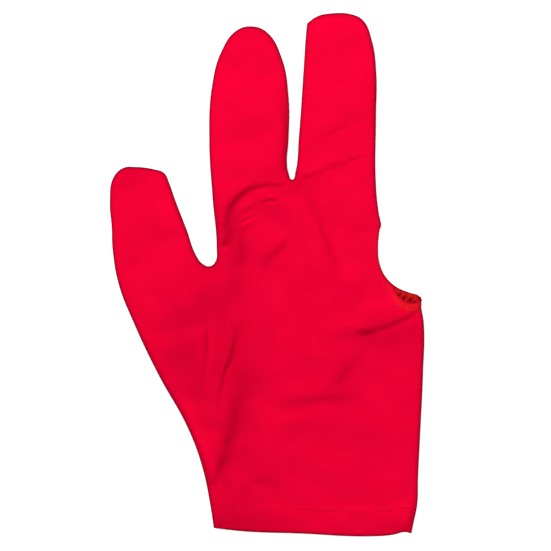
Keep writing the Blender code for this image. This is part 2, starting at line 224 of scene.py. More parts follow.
# ---- soft patches of painted shade and painted light on the knit: centre, change, length, width, turn in degrees ----
SHADE_AND_LIGHT_PATCHES = [
    # arch and web
    ((-13.5, 13.5), -0.20, 15.0, 6.0, 95), ((-14.8, 21.5), -0.12, 8.0, 2.2, 80),
    ((-10.7, 11.2), -0.10, 6.0, 1.7, 92), ((3.0, 29.0), -0.12, 10.0, 6.0, 0),
    ((3.2, 31.2), -0.08, 3.0, 0.9, -12), ((15.0, 35.0), -0.10, 6.0, 3.0, 120),
    ((16.5, 41.6), -0.12, 3.0, 0.8, 20), ((-26.0, -9.0), -0.12, 16.0, 8.0, 65),
    # palm
    ((25.0, 12.0), -0.06, 13.0, 2.2, 114), ((3.2, 9.0), -0.08, 8.0, 2.2, 51),
    ((0.5, -28.0), -0.09, 10.0, 5.0, 90),
    # thumb side
    ((-15.0, -28.0), -0.15, 21.0, 10.0, 95), ((-34.0, -31.0), -0.14, 18.0, 8.0, 115),
    ((-26.3, -25.5), -0.10, 6.0, 1.2, 95), ((-40.0, -38.0), -0.06, 14.0, 7.0, 118),
    ((-28.0, -55.0), -0.08, 7.0, 5.0, 100), ((-9.0, -60.0), -0.12, 20.0, 6.0, 90),
    ((-16.8, -70.0), -0.13, 22.0, 4.5, 84),
    # below the opening
    ((61.6, -16.1), -0.12, 3.2, 0.9, 28), ((42.6, -25.9), -0.17, 4.5, 1.8, 16),
    ((50.0, -26.0), -0.15, 15.0, 5.0, 12), ((31.0, -43.0), -0.08, 16.0, 9.0, 100),
    # cuff
    ((-3.0, -87.0), -0.06, 8.0, 1.6, 0), ((-12.0, -103.0), -0.14, 12.0, 11.0, 0),
    # tips
    ((-58.0, 41.0), -0.13, 9.0, 7.0, 0), ((-8.0, 98.0), -0.06, 11.0, 8.0, 0),
    # painted light
    ((39.5, 70.0), 0.06, 42.0, 5.0, 88), ((-41.0, 22.0), 0.05, 12.0, 5.0, 110),
    ((30.0, 8.0), 0.04, 20.0, 14.0, 90), ((3.4, -6.0), 0.05, 5.0, 2.2, 100),
    ((-50.0, -14.0), 0.05, 13.0, 7.0, 118), ((-30.0, -64.0), 0.12, 14.0, 3.0, 108),
    ((-21.5, -84.0), 0.09, 9.0, 1.6, 108), ((61.0, -84.0), 0.07, 30.0, 13.0, 90),
    ((34.0, -99.0), 0.06, 26.0, 14.0, 0),
]
LIPS = {                 # the edge's return: how far in, and how far from the edge's own height
    "sewn": (
        (0.06, 0.16), (0.22, 0.30), (0.45, 0.38), (0.62, 0.42), (0.75, 0.44), (0.85, 0.46),
        (0.93, 0.47), (1.0, 0.48),
    ),
    "opening": (
        (-0.08, 0.16), (-0.06, 0.46), (0.4, 0.62), (1.3, 0.65), (1.9, 0.66), (2.5, 0.66), (3.1, 0.66),
        (4.4, 0.66),
    ),
    "mouth": (
        (-0.08, 0.35), (-0.08, 0.85), (0.15, 1.18), (1.5, 1.20), (3.5, 1.22), (6.0, 1.23), (8.7, 1.24),
        (HEM, 1.24),
    ),
}
LIP_SHADE = {            # painted shade at each of those places (above one, painted light), as a share of the fabric's
    "sewn": (0.4,) + (0.3,) * 7,
    "opening": (0.3, 0.28, 0.5) + (1.22,) * 5,
    "mouth": (0.45, 0.4, 0.5) + (0.7,) * 5,
}
LIP_BLENDING = 9         # rounds of smoothing where one kind of lip runs into the next
HEM_BEGINS = 3           # the mouth's lip is the hem's inner ply from this place on
# painted shadow in the gaps of the edging's low end: centre and size of each
GAP_SHADOWS = [((55.7, -8.5), 1.0), ((58.0, -9.5), 1.1), ((60.5, -10.6), 1.3)]
GAP_SHADOW_DEPTH = 0.9
LOW_END = ((59.5, -10.0), 6.5, 5.5, -30)    # where orange thread shows through: centre, length, width, turn
OVERLOCK_PITCH = 2.4
OVERLOCK_DEPTH = 3.0
OVERLOCK_START, OVERLOCK_ENDS = 0.75, 3.5    # it begins so far along, and is so much shorter than the opening
OVERLOCK_THREAD = 0.18   # radius, as for every thread below
EDGE_ROWS = (1.7, 3.1)   # rows of thread on the outer face, from the edge
EDGE_ROWS_BEGIN = 0.76   # where the palm's begin, as a share of the opening
EDGE_ROW_THREAD = 0.13
STITCH, STITCH_GAP = 2.2, 0.6
HEM_STITCH_THREAD = 0.14
TACK_TURNS, TACK_STEPS, TACK_PITCH = 6, 8, 0.3
TACK_THREAD = 0.2
SEAM_STITCH = 1.6        # the seam's yarn swells and thins once in this length
SEAM_INSET = 0.42        # its centre, from the outline
SEAM_THREAD_THIN, SEAM_THREAD_SWELL = 0.30, 0.12

WALE, COURSE = 0.44, 0.36     # width and height of one stitch of the knit
PLY_PITCH = 0.7          # a turn of a thread's plies
PLAN_UNIT = 100          # the layer "plan" holds millimetres divided by this
FABRIC_RED = (0.84, 0.0008, 0.036)
FABRIC_DEEP = (0.70, 0.0005, 0.026)
THREAD_RED = (0.42, 0.0008, 0.020)
THREAD_ORANGE = (0.78, 0.012, 0.008)
THREAD_HEM = (0.76, 0.0008, 0.030)

# ---- stage, light and camera, in metres and watts ----
FLOOR_REACH = 1.6
FLOOR_GAP = 0.0003
SKY, SKY_BELOW = 0.55, 0.12     # light of the sky, and what is left of it below the horizon
KEY_AT, KEY_SIZE, KEY = (-0.30, 0.78, 0.55), (0.30, 0.30), 8.6
FILL_AT, FILL_SIZE, FILL = (0.7, 0.2, 0.9), (0.9, 0.9), 2.5
CAMERA_AT = (0.00369, -0.00042, 1.5)
CAMERA_SEES = 0.2322     # width of the view at the ground
SENSOR = 36


# ---------------------------------------------------------------- outline

def bezier_points(anchors, closed, fine=()):
    """Points of a smooth curve through the anchors, closer in the fine parts, and the anchor before each."""
    curve = bpy.data.curves.new("guide", "CURVE")
    spline = curve.splines.new("BEZIER")
    spline.use_cyclic_u = closed
    spline.bezier_points.add(len(anchors) - 1)
    for knot, a in zip(spline.bezier_points, anchors):
        knot.co = (a[0], a[1], 0)
        kind = "VECTOR" if len(a) > 2 else "AUTO"
        knot.handle_left_type = kind
        knot.handle_right_type = kind
    guide = bpy.data.objects.new("guide", curve)
    bpy.context.scene.collection.objects.link(guide)
    bpy.context.view_layer.update()
    knots = list(spline.bezier_points)
    found, owner = [], []
    for i in range(len(knots) if closed else len(knots) - 1):
        a, b = knots[i], knots[(i + 1) % len(knots)]
        count = max(2, round((b.co - a.co).length / (SPACING / 2 if i in fine else SPACING)))
        for p in interpolate_bezier(a.co, a.handle_right, b.handle_left, b.co, count + 1)[:-1]:
            found.append((p.x, p.y))
            owner.append(i)
    if not closed:
        found.append((knots[-1].co.x, knots[-1].co.y))
        owner.append(len(knots) - 1)
    bpy.data.objects.remove(guide, do_unlink=True)
    return np.array(found), owner


def outline(changes):
    """One layer's outline, clockwise, and the section name of each point."""
    sections = dict(OUTLINE, **changes)
    anchors = [a for points in sections.values() for a in points]
    names = [name for name, points in sections.items() for _ in points]
    fine = [i for i, name in enumerate(names) if name == "opening"]
    points, owner = bezier_points(anchors, True, fine)
    return points, np.array([names[i] for i in owner])


def inward_normals(points):
    tangent = np.roll(points, -1, 0) - np.roll(points, 1, 0)
    tangent /= np.linalg.norm(tangent, axis=1)[:, None]
    return np.stack([tangent[:, 1], -tangent[:, 0]], 1)


class Track:
    """A polyline that tells how far points are from it, where along it, and on which side."""

    def __init__(self, path, closed=False):
        self.path = np.concatenate([path, path[:1]]) if closed else np.asarray(path)
        self.step = np.linalg.norm(np.diff(self.path, axis=0), axis=1)
        self.reach = np.concatenate([[0], np.cumsum(self.step)])
        self.length = self.reach[-1]
        self.closed = closed
        self.tree = KDTree(len(self.path))
        for i, p in enumerate(self.path):
            self.tree.insert((p[0], p[1], 0), i)
        self.tree.balance()

    def near(self, points, limit=1e6):
        """Distance, millimetres along, and side (left is positive) of each point. Far ones get the limit."""
        distance = np.full(len(points), float(limit))
        along = np.zeros(len(points))
        side = np.ones(len(points))
        low, high = self.path.min(0) - limit, self.path.max(0) + limit
        close = np.flatnonzero(((points > low) & (points < high)).all(1))
        if not len(close):
            return distance, along, side
        first = np.array([self.tree.find((p[0], p[1], 0))[1] for p in points[close]])
        last = len(self.path) - 2
        for offset in (-1, 0):
            k = first + offset
            k = k % (last + 1) if self.closed else np.clip(k, 0, last)
            edge = self.path[k + 1] - self.path[k]
            rel = points[close] - self.path[k]
            t = np.clip((rel * edge).sum(1) / np.maximum((edge ** 2).sum(1), 1e-12), 0, 1)
            gap = np.linalg.norm(rel - t[:, None] * edge, axis=1)
            better = gap < distance[close]
            chosen = close[better]
            distance[chosen] = gap[better]
            along[chosen] = (self.reach[k] + t * self.step[k])[better]
            side[chosen] = np.sign(edge[:, 0] * rel[:, 1] - edge[:, 1] * rel[:, 0])[better]
        return distance, along, np.where(side == 0, 1, side)

    def at(self, along):
        """Place and direction at a length along the path."""
        k = int(np.clip(np.searchsorted(self.reach, along) - 1, 0, len(self.step) - 1))
        t = (along - self.reach[k]) / self.step[k]
        direction = (self.path[k + 1] - self.path[k]) / self.step[k]
        return self.path[k] + t * self.step[k] * direction, direction


def to_right(direction):
    """A quarter turn to the right, which is inward along an outline."""
    return np.array([direction[1], -direction[0]])


def smooth(t):
    t = np.clip(t, 0, 1)
    return t * t * (3 - 2 * t)


def cloud(points, size, seed):
    """Soft noise between about -1 and 1."""
    return np.array([noise.noise(Vector((x / size, y / size, seed))) for x, y in points[:, :2]]) * 1.6


# ---------------------------------------------------------------- relief of the palm

CREASE_TRACKS = [Track(bezier_points([p[:2] for p in path], False)[0]) for *_, path in CREASES]


def relief(points):
    """Height and sideways shift from the creases and mounds, and painted shade from the creases and patches,
    at each point of the palm.
    """
    lift = np.zeros(len(points))
    shift = np.zeros((len(points), 2))
    shade = np.ones(len(points))
    for number, (track, (height, width, reach, hang, path)) in enumerate(zip(CREASE_TRACKS, CREASES)):
        d, along, side = track.near(points, 4 * reach + 4 * width)
        marks = track.near(np.array([p[:2] for p in path]))[1]
        share = np.interp(along, marks, [p[2] for p in path])
        wide = width * np.interp(along, marks, [p[3] for p in path])
        # a crease in cloth wanders, and is never equally wide along its length
        wide *= 1 + 0.3 * min(1.0, 1 / width) * np.sin(along / 3.1 + number) * np.sin(along / 7.3)
        s = d * side + 0.35 * np.minimum(wide, 0.8) * np.sin(along / 2.3 + 2 * number) * np.sin(along / 5.1)
        taper = min(0.3 * track.length, 8.0)
        fade = share * smooth(along / taper) * smooth((track.length - along) / taper)
        # the high side falls back over its reach, and the low side has a shallow trough with painted shade
        # along it
        step = 0.5 * (1 + np.tanh(s / wide)) * np.exp(-np.clip(s, 0, None) / reach)
        trough = 0.20 * np.exp(-((s + 1.6 * wide) / (1.3 * wide)) ** 2)
        lift += height * fade * (step - trough)
        shade *= 1 - 0.12 * min(1.0, height) * fade * np.exp(-((s + 0.5 * wide) / (1.1 * wide)) ** 2)
        if hang:
            near = np.flatnonzero(d < 4 * width)
            for i in near:
                amount = hang * fade[i] * math.exp(-((s[i] - 0.7 * wide[i]) / (1.5 * wide[i])) ** 2)
                shift[i] += amount * to_right(track.at(along[i])[1])
    for centre, height, long, wide, turn in MOUNDS:
        lift += height * hill(points, centre, long, wide, turn)
    # painted shade and painted light, in soft patches
    for centre, change, long, wide, turn in SHADE_AND_LIGHT_PATCHES:
        shade *= 1 + change * hill(points, centre, long, wide, turn)
    return lift, shift, shade


# ---------------------------------------------------------------- one layer of fabric

RINGS = (0.0, 0.1, 0.32, 0.68, 1.15, 1.7, 2.35, 3.1)     # rows of points along the edge, from it


def edge_normals(points):
    normals = inward_normals(points)
    for _ in range(2):
        normals = (np.roll(normals, 1, 0) + normals * 2 + np.roll(normals, -1, 0)) / 4
        normals /= np.linalg.norm(normals, axis=1)[:, None]
    return normals


def layer_plan(points, dense):
    """Flat triangles over the outline: rings along the edge, then a grid, finer near the dense tracks."""
    border = Track(points, True)
    normals = edge_normals(points)
    flat = [points]
    for inset in RINGS[1:]:
        ring = points + normals * inset
        flat.append(ring[border.near(ring)[0] > inset * 0.93])
    low, high = points.min(0), points.max(0)
    fine = GRID / 2
    rows = int((high[1] - low[1]) / (fine * 0.866)) + 1
    columns = int((high[0] - low[0]) / fine) + 1
    j, i = np.divmod(np.arange(rows * columns), columns)
    grid = np.stack([low[0] + (i + 0.5 * (j % 2)) * fine, low[1] + j * fine * 0.866], 1)
    wanted = (j % 2 == 0) & (i % 2 == (j // 2) % 2)
    for track in dense:
        wanted |= track.near(grid, 2.6)[0] < 2.6
    grid = grid[wanted & inside(grid, points)]
    flat.append(grid[border.near(grid)[0] > RINGS[-1] + 0.45])
    flat = np.concatenate(flat)
    loop = [(k, (k + 1) % len(points)) for k in range(len(points))]
    found = delaunay_2d_cdt([Vector(p) for p in flat], loop, [], 1, 1e-4)
    vertices = np.array([(v.x, v.y) for v in found[0]])
    faces = np.array([f for f in found[2] if len(f) == 3])
    a, b, c = (vertices[faces[:, k]] for k in range(3))
    turn = (b[:, 0] - a[:, 0]) * (c[:, 1] - a[:, 1]) - (b[:, 1] - a[:, 1]) * (c[:, 0] - a[:, 0])
    faces[turn < 0] = faces[turn < 0][:, ::-1]
    return vertices, faces


def inside(points, ring):
    hit = np.zeros(len(points), bool)
    for a, b in zip(ring, np.roll(ring, -1, 0)):
        if a[1] == b[1]:
            continue
        span = (a[1] > points[:, 1]) != (b[1] > points[:, 1])
        hit ^= span & (points[:, 0] < (b[0] - a[0]) * (points[:, 1] - a[1]) / (b[1] - a[1]) + a[0])
    return hit


def section_track(edge, sections, name):
    """One open edge, with the point that follows it."""
    last = np.flatnonzero(sections == name)[-1]
    order = np.flatnonzero(sections == name).tolist() + [(last + 1) % len(edge)]
    return Track(edge[order])


def sewn_runs(edge, sections):
    """The stretches of the outline where palm and back are sewn together."""
    sewn = ~np.isin(sections, OPEN_EDGES)
    order = np.roll(np.arange(len(edge)), -int(np.flatnonzero(sections == "little_side")[0]))
    runs, run = [], []
    for i in order:
        if sewn[i]:
            run.append(edge[i])
        elif run:
            runs.append(np.array(run + [edge[i]]))
            run = []
    if run:
        runs.append(np.array(run))
    return runs


def rolled(d, low, high):
    t = np.clip(d / ROLL, 0, 1)
    return low + (high - low) * np.sqrt(np.clip(1 - (1 - t) ** 2, 0, 1))


def puckers(points, along, d):
    """Tiny gathers where the elastic knit is drawn in by the seam, stronger below the thumb."""
    strong = 1 + 1.6 * np.exp(-((points[:, 1] + 36) / 16) ** 2) * (points[:, 0] < -25)
    wander = 3 * np.sin(along / 11.0)
    waxing = 0.55 + 0.45 * np.sin(along / 17.0)
    wave = strong * np.sin(along * 2 * math.pi / PUCKER_PITCH + wander) * waxing
    return wave * np.exp(-((d - PUCKER_INSET) / 1.3) ** 2)


def plan_layer(changes, side, dense):
    edge, sections = outline(changes)
    tracks = {name: section_track(edge, sections, name) for name in OPEN_EDGES}
    hem = Track(tracks["mouth"].path + edge_normals(tracks["mouth"].path)[1:-1].mean(0) * HEM)
    flat, faces = layer_plan(edge, dense + [hem])
    rim, along, _ = Track(edge, True).near(flat)
    seam = np.min([Track(run).near(flat)[0] for run in sewn_runs(edge, sections)], axis=0)
    layer = {
        "edge": edge, "sections": sections, "flat": flat, "faces": faces, "side": side, "tracks": tracks,
        "seam": seam, "rim": rim, "along": along,
    }
    for name, track in tracks.items():
        layer[name] = track.near(flat)[0]
    return layer


def hem_marks(layer):
    """Step of the doubled hem and the groove of its stitches."""
    d = layer["mouth"]
    step = HEM_STEP * (0.5 - 0.5 * np.tanh((d - HEM) / 0.7))
    return step - HEM_GROOVE * np.exp(-((d - HEM_ROW) / 0.6) ** 2)


def off_seam(d):
    """Share of the relief that shows at a distance from the seam."""
    return smooth((d - CALM) / CALM_RUN)


def hill(points, centre, long, wide, turn):
    c, s = math.cos(math.radians(turn)), math.sin(math.radians(turn))
    x, y = points[:, 0] - centre[0], points[:, 1] - centre[1]
    return np.exp(-((x * c + y * s) / long) ** 2 - ((-x * s + y * c) / wide) ** 2)


def painted_rim_shade(layer):
    """Painted shade on the rolled edges at seams, hem and opening, stronger where an edge faces the key
    light.
    """
    border = Track(layer["edge"], True)
    nearest = np.clip(np.searchsorted(border.reach, layer["along"]) - 1, 0, len(border.step) - 1)
    towards_tips = np.clip(np.diff(border.path[:, 0])[nearest] / border.step[nearest], 0, 1)
    sewn = np.exp(-np.minimum(layer["seam"], layer["mouth"]) / (0.5 + 0.45 * towards_tips))
    return (1 - (0.72 + 0.22 * towards_tips) * sewn) * (1 - 0.55 * np.exp(-layer["opening"] / 0.45))


def palm_layer():
    layer = plan_layer(PALM_CHANGES, 1, CREASE_TRACKS)
    flat, d = layer["flat"], layer["seam"]
    crown = PALM_TOP + PALM_CROWN * (1 - np.exp(-d / CROWN_RUN))
    lift, shift, shade = relief(flat)
    amount = off_seam(d)
    z = rolled(d, SEAM_Z + LIP, crown) + lift * amount
    z += 0.22 * cloud(flat, 26.0, 3.0) * amount + 0.05 * cloud(flat, 7.0, 8.0) * amount
    z += 0.09 * puckers(flat, layer["along"], d) + hem_marks(layer) * amount
    z -= OPENING_SAG * np.exp(-layer["opening"] / SAG_RUN) * amount
    z -= (0.5 * np.exp(-layer["mouth"] / 5.0) + 0.3 * np.exp(-layer["mouth"] / 0.4)) * amount
    layer["co"] = np.concatenate([flat + shift * amount[:, None], z[:, None]], 1)
    layer["shade"] = shade * painted_rim_shade(layer)
    return layer


def back_layer():
    layer = plan_layer({}, -1, [])
    flat, d = layer["flat"], layer["seam"]
    z = rolled(d, SEAM_Z - LIP, 0.0)
    z += (0.25 + 0.25 * cloud(flat, 20.0, 5.0)) * smooth((d - 2.0) / 9.0)
    z += 0.07 * puckers(flat, layer["along"], d) * smooth(d) - hem_marks(layer) * smooth((d - 2.0) / 3.0)
    z += OPENING_LIFT * np.exp(-layer["opening"] / SAG_RUN) * off_seam(d)
    z = np.maximum(z, 0.0) + BACK_GROOVE * np.exp(-((layer["mouth"] - HEM_ROW) / 1.2) ** 2) * off_seam(d)
    layer["co"] = np.concatenate([flat, z[:, None]], 1)
    layer["shade"] = painted_rim_shade(layer)
    return layer


def relax(layer):
    """A short cloth simulation: the sewn sheet is a little too big for its outline, so it buckles softly."""
    mesh = bpy.data.meshes.new("relax")
    mesh.from_pydata([tuple(p) for p in layer["co"] / CLOTH_DIVISOR], [], [tuple(f) for f in layer["faces"]])
    obj = bpy.data.objects.new("relax", mesh)
    bpy.context.scene.collection.objects.link(obj)
    held = obj.vertex_groups.new(name="held")
    free = smooth((layer["rim"] - CLOTH_HELD[0]) / CLOTH_HELD[1])
    for i, share in enumerate(free):
        if share < 1:
            held.add([i], 1 - float(share), "REPLACE")
    cloth = obj.modifiers.new("cloth", "CLOTH")
    settings = cloth.settings
    settings.quality = 6
    settings.mass = CLOTH_MASS
    settings.tension_stiffness = CLOTH_STRETCHING
    settings.compression_stiffness = CLOTH_STRETCHING
    settings.shear_stiffness = CLOTH_SHEAR
    settings.bending_stiffness = CLOTH_BENDING
    settings.vertex_group_mass = "held"
    settings.shrink_min = CLOTH_SHRINK
    settings.shrink_max = CLOTH_SHRINK
    settings.effector_weights.gravity = 0
    cloth.collision_settings.use_collision = False
    cloth.point_cache.frame_start = 1
    cloth.point_cache.frame_end = CLOTH_FRAMES
    scene = bpy.context.scene
    for step in range(1, CLOTH_FRAMES + 1):
        scene.frame_set(step)
    graph = bpy.context.evaluated_depsgraph_get()
    result = obj.evaluated_get(graph).to_mesh()
    moved = np.array([v.co for v in result.vertices]) * CLOTH_DIVISOR - layer["co"]
    obj.evaluated_get(graph).to_mesh_clear()
    scene.frame_set(1)
    bpy.data.objects.remove(obj, do_unlink=True)
    size = np.linalg.norm(moved, axis=1)
    moved *= np.minimum(1, CLOTH_REACH / np.maximum(size, 1e-9))[:, None]
    layer["co"] = layer["co"] + moved * free[:, None]


def add_lips(layer):
    """Turns the fabric's edge back inside: into the seam, round the opening, and up to the hem's raw edge."""
    edge, sections, side = layer["edge"], layer["sections"], layer["side"]
    count = len(edge)
    kinds = [name if name in OPEN_EDGES else "sewn" for name in sections]
    rows = np.array([LIPS[kind] for kind in kinds])
    shade = np.array([LIP_SHADE[kind] for kind in kinds])
    for _ in range(LIP_BLENDING):
        rows = (np.roll(rows, 1, 0) + rows * 2 + np.roll(rows, -1, 0)) / 4
        shade = (np.roll(shade, 1, 0) + shade * 2 + np.roll(shade, -1, 0)) / 4
    normals = edge_normals(edge)
    rim = layer["co"][:count]
    co, flat, faces = [layer["co"]], [layer["flat"]], [layer["faces"]]
    total = len(layer["co"])
    previous = np.arange(count)
    parts = [np.zeros(len(layer["faces"]), bool)]
    for k in range(rows.shape[1]):
        place = edge + normals * rows[:, k, :1]
        z = rim[:, 2] - side * rows[:, k, 1]
        co.append(np.concatenate([place, z[:, None]], 1))
        flat.append(place)
        current = total + np.arange(count)
        total += count
        a, b = previous, np.roll(previous, -1)
        c, d = np.roll(current, -1), current
        ring = np.concatenate([np.stack([a, b, c], 1), np.stack([a, c, d], 1)])
        faces.append(ring)
        inner = (k >= HEM_BEGINS) & (np.array(kinds) == "mouth")
        parts.append(np.concatenate([inner, inner]))
        previous = current
    # painted shade on the lips, with painted shadow in the edging's gaps
    shade = shade.T.ravel() * (1 - GAP_SHADOW_DEPTH * gap_shadow(np.concatenate(flat[1:])))
    layer["co"], layer["flat"] = np.concatenate(co), np.concatenate(flat)
    layer["faces"], layer["hem"] = np.concatenate(faces), np.concatenate(parts)
    layer["shade"] = np.concatenate([layer["shade"], shade])
    if side < 0:
        layer["faces"] = layer["faces"][:, ::-1]


# ---------------------------------------------------------------- folds and pieces

class Fold:
    def __init__(self, joint):
        self.name = joint["name"]
        self.parent = joint["parent"]
        self.child = joint["child"]
        self.at = np.array(joint["pos_m"][:2]) / MM
        self.along = np.array(joint["axis"][:2])
        self.out = np.array([-self.along[1], self.along[0]])

    def past(self, points):
        """Millimetres beyond the fold, on the child's side."""
        return (points[:, :2] - self.at) @ self.out

    def point(self, distance):
        p = (self.at + self.out * distance) * MM
        return (p[0], p[1], 0.0)


FOLDS = {j["name"]: Fold(j) for j in frame["joints"]}
CHAINS = {
    "thumb": ("thumb_root_fold", "thumb_knuckle_fold", "thumb_end_fold"),
    "index": ("index_root_fold", "index_middle_fold", "index_end_fold"),
    "middle": ("middle_root_fold", "middle_middle_fold", "middle_end_fold"),
}


def fold_of(points):
    """The fold whose piece each flat point belongs to."""
    web = OUTLINE["web"][1]
    crotch = OUTLINE["crotch"][0]
    x, y = points[:, 0], points[:, 1]
    in_air = y > web[1]
    left_of_web = x < web[0] - 0.16 * (y - web[1])
    area = {
        "thumb": (in_air & left_of_web) | (~in_air & (y > THUMB_FROM)),
        "index": (y > FINGERS_FROM) & ~left_of_web & (x < crotch[0]),
        "middle": (y > FINGERS_FROM) & (x >= crotch[0]),
    }
    owner = np.full(len(points), "wrist_fold", dtype=object)
    for finger, chain in CHAINS.items():
        first = FOLDS[chain[0]]
        begin = THUMB_START if finger == "thumb" else FOLD_START - 1.0
        owner[area[finger] & (first.past(points) > begin)] = chain[0]
        for near, far in zip(chain, chain[1:]):
            beyond = FOLDS[near].past(points) + FOLDS[far].past(points) > FOLD_END + FOLD_START
            owner[(owner == near) & beyond] = far
    return owner


def bend(obj, name):
    fold = FOLDS[name]
    start = THUMB_START if name == "thumb_root_fold" else FOLD_START
    fold.point(start)
    fold.point(FOLD_END)
    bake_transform(obj)


def vertex_normals(co, faces):
    a, b, c = (co[faces[:, k]] for k in range(3))
    face = np.cross(b - a, c - a)
    normals = np.zeros_like(co)
    for k in range(3):
        np.add.at(normals, faces[:, k], face)
    return normals / np.maximum(np.linalg.norm(normals, axis=1), 1e-12)[:, None]


def mesh_piece(name, co, faces, plan, shade, normals, material, tint=None):
    mesh = bpy.data.meshes.new(name)
    mesh.from_pydata([tuple(p) for p in co * MM * SCALE], [], [tuple(int(i) for i in f) for f in faces])
    mesh.materials.append(material)
    mesh.polygons.foreach_set("use_smooth", [True] * len(mesh.polygons))
    loops = np.empty(len(mesh.loops), int)
    mesh.loops.foreach_get("vertex_index", loops)
    layer = mesh.uv_layers.new(name="plan")
    layer.data.foreach_set("uv", (plan[loops] / PLAN_UNIT).astype(np.float32).ravel())
    for key, values in (("shade", shade), ("tint", np.zeros(len(co)) if tint is None else tint)):
        mesh.attributes.new(key, "FLOAT", "POINT").data.foreach_set("value", values.astype(np.float32))
    if normals is not None:
        mesh.normals_split_custom_set_from_vertices([tuple(n) for n in normals])
    obj = bpy.data.objects.new(name, mesh)
    bpy.context.scene.collection.objects.link(obj)
    return obj


def gap_shadow(points):
    """Share of each point that lies in a gap of the edging, where painted shadow darkens the knit."""
    gaps = [hill(points, place, 1.25 * size, 0.62 * size, 36) for place, size in GAP_SHADOWS]
    return sum(np.minimum(1.6 * gap, 1) for gap in gaps)


def edging_tint(layer):
    """How much the orange of the edging's thread shows through the knit, also browning the painted shadow in
    its gaps.
    """
    flat = layer["flat"]
    away = layer["tracks"]["opening"].near(flat)[0]
    band = np.exp(-((away - 1.5) / 1.6) ** 2)
    return np.minimum(band * (0.15 + 0.65 * hill(flat, *LOW_END)) + 0.5 * gap_shadow(flat), 1)


def fabric_pieces(prefix, layer, material):
    """One mesh for each fold, cut where the fabric doesn't bend, and the hem's inner ply."""
    co, faces, flat, shade = layer["co"], layer["faces"], layer["flat"], layer["shade"]
    normals = vertex_normals(co, faces)
    tint = edging_tint(layer)
    owner = fold_of(flat[faces].mean(1))
    groups = {name: (owner == name) & ~layer["hem"] for name in FOLDS}
    groups["hem"] = layer["hem"]
    for name, wanted in groups.items():
        used, index = np.unique(faces[wanted], return_inverse=True)
        title = prefix + "_" + name.replace("_fold", "")
        corners = index.reshape(-1, 3)
        piece = mesh_piece(
            title, co[used], corners, flat[used], shade[used], normals[used], material, tint[used]
        )
        if name == "hem":
            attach(piece, "cuff")
            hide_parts(prefix + "_hem_turn_in")
            continue
        bend(piece, name)
        stands_for = [prefix + "_" + FOLDS[name].child]
        if name == "wrist_fold":
            stands_for.append(prefix + "_hand")
        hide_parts(*stands_for)


# ---------------------------------------------------------------- thread

class Strands:
    """Collects lengths of round thread into one mesh."""

    def __init__(self):
        self.co, self.faces, self.plan, self.shade, self.count = [], [], [], [], 0

    def add(self, path, radius, sides=6, shade=1.0):
        path = np.asarray(path, float)
        tangent = np.gradient(path, axis=0)
        tangent /= np.linalg.norm(tangent, axis=1)[:, None]
        radius = np.broadcast_to(radius, len(path))
        self.shade.extend(np.repeat(np.broadcast_to(shade, len(path)), sides))
        across = np.cross(tangent[0], (0.3, 0.2, 1.0))
        run = 0.0
        for i, (p, t) in enumerate(zip(path, tangent)):
            across = across - t * (across @ t)
            across /= np.linalg.norm(across)
            other = np.cross(t, across)
            run += np.linalg.norm(p - path[i - 1]) if i else 0.0
            for k in range(sides):
                angle = 2 * math.pi * k / sides
                self.co.append(p + radius[i] * (math.cos(angle) * across + math.sin(angle) * other))
                self.plan.append((run, k / sides))
        start = self.count
        for i in range(len(path) - 1):
            for k in range(sides):
                a, b = start + i * sides + k, start + i * sides + (k + 1) % sides
                self.faces.append((a, b, b + sides, a + sides))
        self.faces.append(tuple(start + k for k in reversed(range(sides))))
        self.count += len(path) * sides
        self.faces.append(tuple(self.count - sides + k for k in range(sides)))

    def piece(self, name, material):
        co, plan = np.array(self.co), np.array(self.plan)
        obj = mesh_piece(name, co, self.faces, plan, np.array(self.shade), None, material)
        return obj or obj


def seam_pieces(layer, material):
    """The thread in the groove between palm and back, drawn in at each stitch."""
    strands = {}
    for run in sewn_runs(layer["edge"], layer["sections"]):
        track = Track(run)
        steps = np.linspace(0, track.length, max(2, round(track.length / 0.4)))
        places = []
        for s in steps:
            p, direction = track.at(s)
            places.append(p + SEAM_INSET * to_right(direction))
        places = np.array(places)
        owner = fold_of(places)
        radius = SEAM_THREAD_THIN + SEAM_THREAD_SWELL * np.abs(np.sin(math.pi * steps / SEAM_STITCH))
        path = np.concatenate([places, np.full((len(places), 1), SEAM_Z)], 1)
        first = 0
        for i in range(1, len(path) + 1):
            if i == len(path) or owner[i] != owner[first]:
                last = min(i + 1, len(path))
                strands.setdefault(owner[first], Strands()).add(path[first:last], radius[first:last])
                first = i
    for name, found in strands.items():
        piece = found.piece("seam_" + name.replace("_fold", ""), material)
        bend(piece, name)
        bodies = [FOLDS[name].child] + (["hand"] if name == "wrist_fold" else [])
        for body in bodies:
            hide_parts(*[node for node in frame["nodes"] if node.startswith("seam_" + body)])


def surface_of(layer):
    """A function giving the height of the layer's outer face at a place."""
    tree = BVHTree.FromPolygons([tuple(p) for p in layer["co"]], [tuple(f) for f in layer["outer"]])
    direction = Vector((0, 0, -layer["side"]))

    def height(p):
        hit = tree.ray_cast(Vector((p[0], p[1], 20.0 * layer["side"])), direction)[0]
        if hit is None:
            hit = tree.find_nearest(Vector((p[0], p[1], 3.0)))[0]
        return hit.z

    return height


